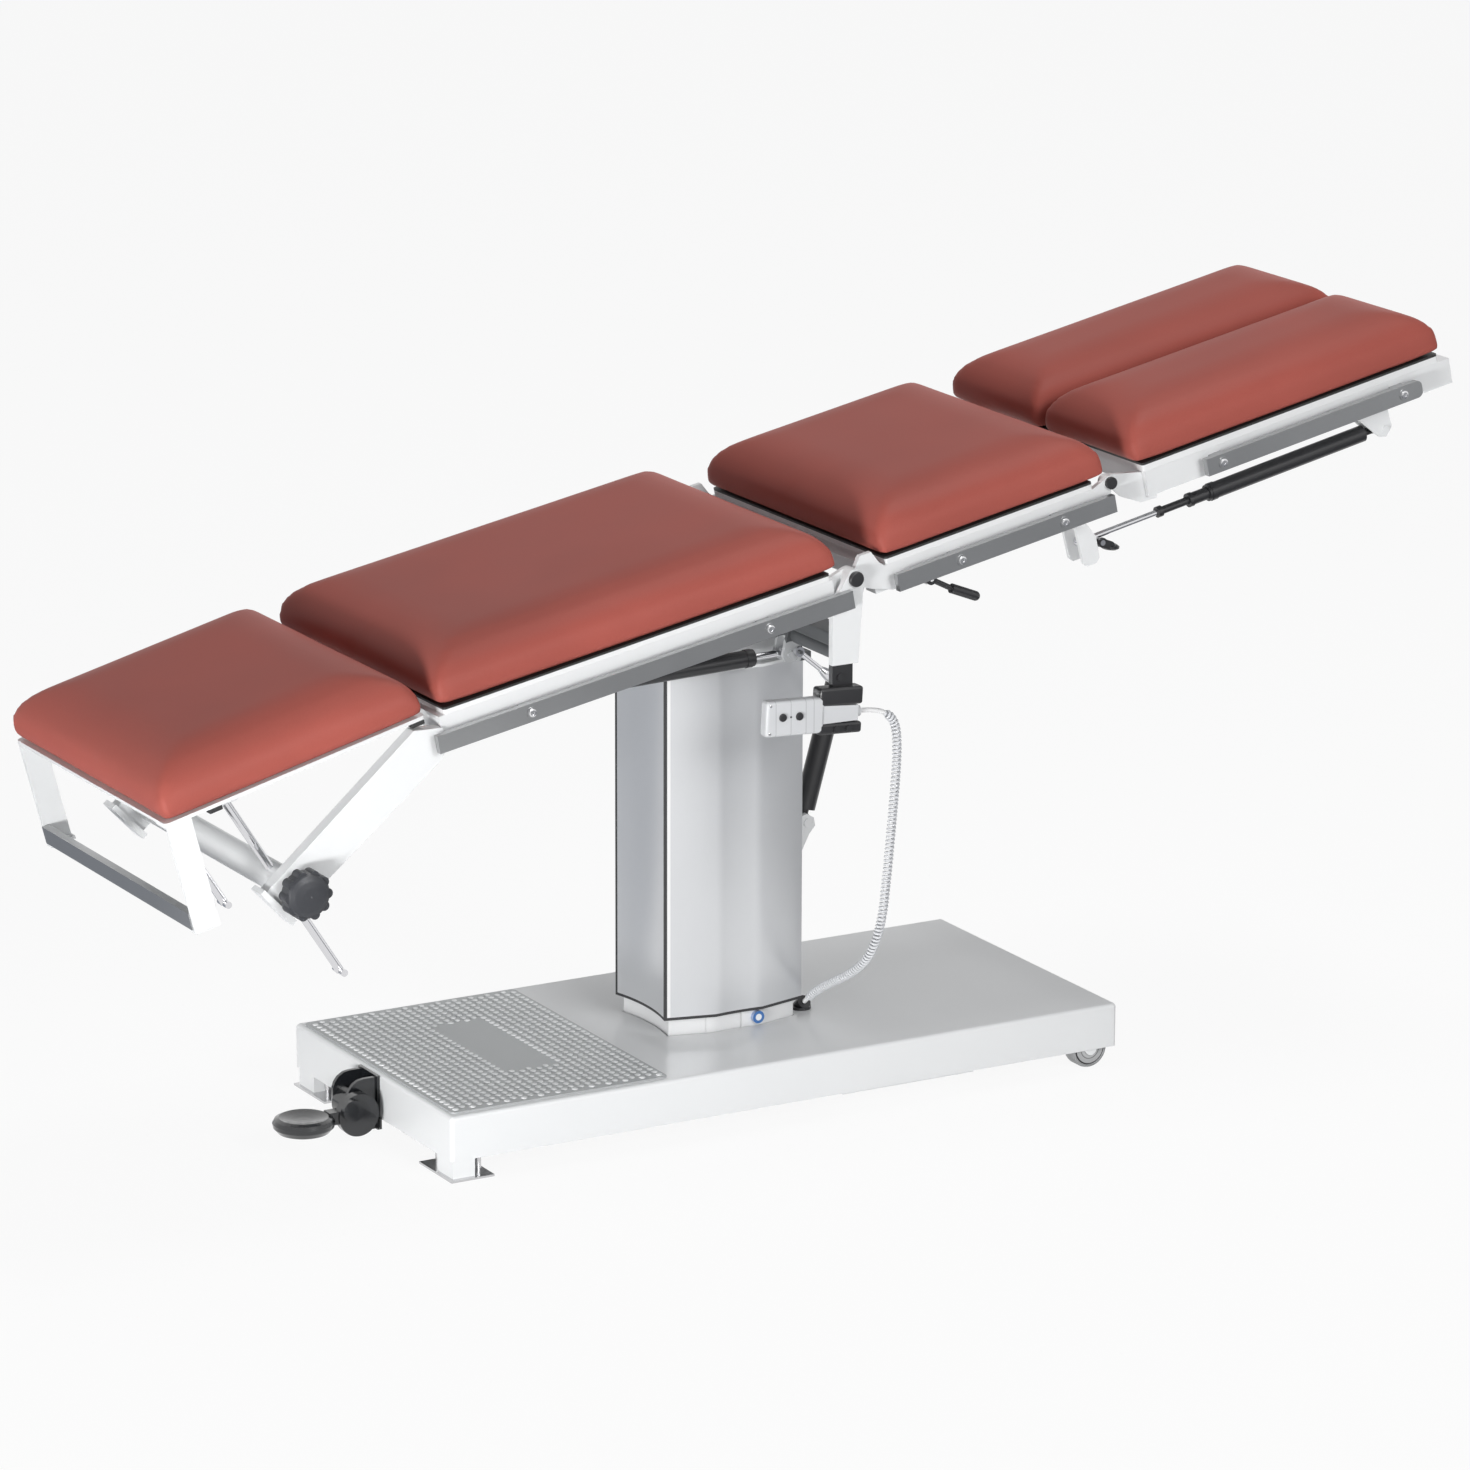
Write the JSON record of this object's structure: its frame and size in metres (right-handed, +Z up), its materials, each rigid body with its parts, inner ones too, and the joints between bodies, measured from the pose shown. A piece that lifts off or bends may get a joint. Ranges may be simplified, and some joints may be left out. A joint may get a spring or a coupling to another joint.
{
  "type": "operating table",
  "caption": "Jointed operating table with lifting column, tilting back and seat, split leg sections, adjustable head rest, side rails and a corded hand control.",
  "frame": {"origin": "on the floor, centre of the table's overall box", "axes": "+X along the table towards the leg end, +Y across it towards the far side, +Z up"},
  "size_m": [2.0263, 0.548, 1.0365],
  "materials": {
    "white_paint": "smooth semi-gloss",
    "dark_paint": "satin",
    "steel": "brushed",
    "chrome": "polished",
    "anodised": "satin anodised",
    "leather": "smooth, slight sheen",
    "black_board": "matt",
    "black_plastic": "fine grain",
    "gloss_black": "gloss",
    "grey_plastic": "fine grain",
    "rubber": "matt"
  },
  "bodies": {
    "base": {"base_cover": "white_paint", "base_frame": "white_paint", "tread_plate": "steel", "foot_plates": "steel", "pedal_bracket": "gloss_black", "column_inner": "anodised", "lift_actuator": "steel", "cord_gland": "black_plastic", "control_cord": "grey_plastic"},
    "lift": {"column_sleeve": "anodised", "column_trim": "black_plastic", "column_head": "white_paint", "lift_rod": "steel", "yoke_beam": "dark_paint", "yoke_posts": "white_paint", "pivot_caps": "black_plastic", "control_clamp": "black_plastic", "hand_control": "grey_plastic"},
    "wheel_near": {"wheel_near": "rubber"},
    "wheel_far": {"wheel_far": "rubber"},
    "pedal": {"foot_pedal": "gloss_black"},
    "button_up": {"button_up": "black_plastic"},
    "button_down": {"button_down": "black_plastic"},
    "strut_lower": {"strut_cylinder": "dark_paint"},
    "strut_upper": {"strut_rod": "chrome"},
    "spring_rod": {"back_spring_rod": "chrome"},
    "spring_body": {"back_spring_cylinder": "dark_paint"},
    "back_lever": {"back_release_lever": "chrome"},
    "back": {"back_frame": "white_paint", "head_arms": "white_paint", "back_board": "black_board", "back_pad": "leather", "back_rails": "steel"},
    "clamp": {"head_clamp": "white_paint"},
    "knob": {"head_knob": "black_plastic"},
    "head": {"head_plate": "white_paint", "head_legs": "white_paint", "head_rail": "steel", "head_rods": "chrome", "head_pad": "leather"},
    "seat": {"seat_frame": "white_paint", "seat_board": "black_board", "seat_pad": "leather", "seat_rails": "steel", "leg_pins": "steel"},
    "seat_lever": {"seat_lever": "black_plastic"},
    "leg_near": {"leg_frame_near": "white_paint", "leg_board_near": "black_board", "leg_pad_near": "leather", "leg_rail_near": "steel"},
    "gas_body_near": {"leg_cylinder_near": "dark_paint"},
    "gas_rod_near": {"leg_rod_near": "chrome"},
    "paddle_near": {"leg_paddle_near": "black_plastic"},
    "leg_far": {"leg_frame_far": "white_paint", "leg_board_far": "black_board", "leg_pad_far": "leather", "leg_rail_far": "steel"},
    "gas_body_far": {"leg_cylinder_far": "dark_paint"},
    "gas_rod_far": {"leg_rod_far": "chrome"},
    "paddle_far": {"leg_paddle_far": "black_plastic"}
  },
  "joints": [
    {"name": "column_lift", "type": "slide", "parent": "base", "child": "lift", "axis": [0, 0, 1], "range_m": [0, 0.3]},
    {"name": "seat_tilt", "type": "hinge", "parent": "lift", "child": "seat", "pos_m": [0.0232, 0, 0.7652], "axis": [0, 1, 0], "range_deg": [-13, 27]},
    {"name": "back_tilt", "type": "hinge", "parent": "lift", "child": "back", "pos_m": [0.0232, 0, 0.7652], "axis": [0, 1, 0], "range_deg": [-8, 67]},
    {"name": "leg_hinge_near", "type": "hinge", "parent": "seat", "child": "leg_near", "pos_m": [0.43741, -0.165, 0.85098], "axis": [0, 1, 0], "range_deg": [-10, 60]},
    {"name": "leg_hinge_far", "type": "hinge", "parent": "seat", "child": "leg_far", "pos_m": [0.43741, 0.165, 0.85098], "axis": [0, 1, 0], "range_deg": [-10, 60]},
    {"name": "head_hinge", "type": "hinge", "parent": "back", "child": "clamp", "pos_m": [-0.8168, 0, 0.4434], "axis": [0, 1, 0], "range_deg": [-40, 0]},
    {"name": "head_slide", "type": "slide", "parent": "clamp", "child": "head", "axis": [-0.5389, 0, 0.8424], "range_m": [0, 0.14]},
    {"name": "knob_turn", "type": "hinge", "parent": "clamp", "child": "knob", "pos_m": [-0.8168, -0.266, 0.4434], "axis": [0, 1, 0], "range_deg": [-180, 180]},
    {"name": "pedal_press", "type": "hinge", "parent": "base", "child": "pedal", "pos_m": [-0.622, 0, 0.045], "axis": [0, -1, 0], "range_deg": [0, 12], "stiffness_Nm_per_rad": 30, "springref_deg": -2.86},
    {"name": "press_up", "type": "slide", "parent": "lift", "child": "button_up", "axis": [0, 1, 0], "range_m": [0, 0.0015], "stiffness_N_per_m": 600, "springref_m": -0.0005},
    {"name": "press_down", "type": "slide", "parent": "lift", "child": "button_down", "axis": [0, 1, 0], "range_m": [0, 0.0015], "stiffness_N_per_m": 600, "springref_m": -0.0005},
    {"name": "wheel_turn_near", "type": "hinge", "parent": "base", "child": "wheel_near", "pos_m": [0.426, -0.2185, 0.0285], "axis": [0, 1, 0], "continuous": true},
    {"name": "wheel_turn_far", "type": "hinge", "parent": "base", "child": "wheel_far", "pos_m": [0.426, 0.2185, 0.0285], "axis": [0, 1, 0], "continuous": true},
    {"name": "strut_swing", "type": "hinge", "parent": "lift", "child": "strut_lower", "pos_m": [0.086, 0, 0.354], "axis": [0, 1, 0], "range_deg": [-1, 1]},
    {"name": "strut_travel", "type": "slide", "parent": "strut_lower", "child": "strut_upper", "axis": [0.2725, 0, 0.9622], "range_m": [-0.081, 0.04]},
    {"name": "spring_swing", "type": "hinge", "parent": "lift", "child": "spring_rod", "pos_m": [-0.002, -0.105, 0.633], "axis": [0, 1, 0], "range_deg": [-8, 62]},
    {"name": "spring_travel", "type": "slide", "parent": "spring_rod", "child": "spring_body", "axis": [-0.9995, 0, -0.0301], "range_m": [-0.018, 0.144]},
    {"name": "back_lever_pull", "type": "hinge", "parent": "lift", "child": "back_lever", "pos_m": [0.006, -0.128, 0.638], "axis": [0, 1, 0], "range_deg": [0, 10], "stiffness_Nm_per_rad": 0.6, "springref_deg": -5.73},
    {"name": "seat_lever_pull", "type": "hinge", "parent": "seat", "child": "seat_lever", "pos_m": [0.17205, -0.2, 0.73679], "axis": [0, -1, 0], "range_deg": [0, 8], "stiffness_Nm_per_rad": 0.8, "springref_deg": -5.73},
    {"name": "gas_swing_near", "type": "hinge", "parent": "leg_near", "child": "gas_body_near", "pos_m": [0.94133, -0.165, 0.86185], "axis": [0, 1, 0], "range_deg": [-1, 5]},
    {"name": "gas_travel_near", "type": "slide", "parent": "gas_body_near", "child": "gas_rod_near", "axis": [-0.9765, 0, -0.2153], "range_m": [-0.091, 0.016]},
    {"name": "paddle_press_near", "type": "hinge", "parent": "gas_rod_near", "child": "paddle_near", "pos_m": [0.46864, -0.1745, 0.74824], "axis": [0, 1, 0], "range_deg": [0, 6], "stiffness_Nm_per_rad": 0.3, "springref_deg": -5.73},
    {"name": "gas_swing_far", "type": "hinge", "parent": "leg_far", "child": "gas_body_far", "pos_m": [0.94133, 0.165, 0.86185], "axis": [0, 1, 0], "range_deg": [-1, 5]},
    {"name": "gas_travel_far", "type": "slide", "parent": "gas_body_far", "child": "gas_rod_far", "axis": [-0.9765, 0, -0.2153], "range_m": [-0.091, 0.016]},
    {"name": "paddle_press_far", "type": "hinge", "parent": "gas_rod_far", "child": "paddle_far", "pos_m": [0.46864, 0.1745, 0.74824], "axis": [0, 1, 0], "range_deg": [0, 6], "stiffness_Nm_per_rad": 0.3, "springref_deg": -5.73}
  ],
  "couplings": [
    {"joint": "strut_swing", "follows": "seat_tilt", "ratio": -0.0287},
    {"joint": "strut_travel", "follows": "seat_tilt", "m_per_rad": -0.1689},
    {"joint": "spring_swing", "follows": "back_tilt", "ratio": 0.9243},
    {"joint": "spring_travel", "follows": "back_tilt", "m_per_rad": 0.1216},
    {"joint": "gas_swing_near", "follows": "leg_hinge_near", "ratio": 0.0729},
    {"joint": "gas_travel_near", "follows": "leg_hinge_near", "m_per_rad": -0.0854},
    {"joint": "gas_swing_far", "follows": "leg_hinge_far", "ratio": 0.0729},
    {"joint": "gas_travel_far", "follows": "leg_hinge_far", "m_per_rad": -0.0854}
  ]
}
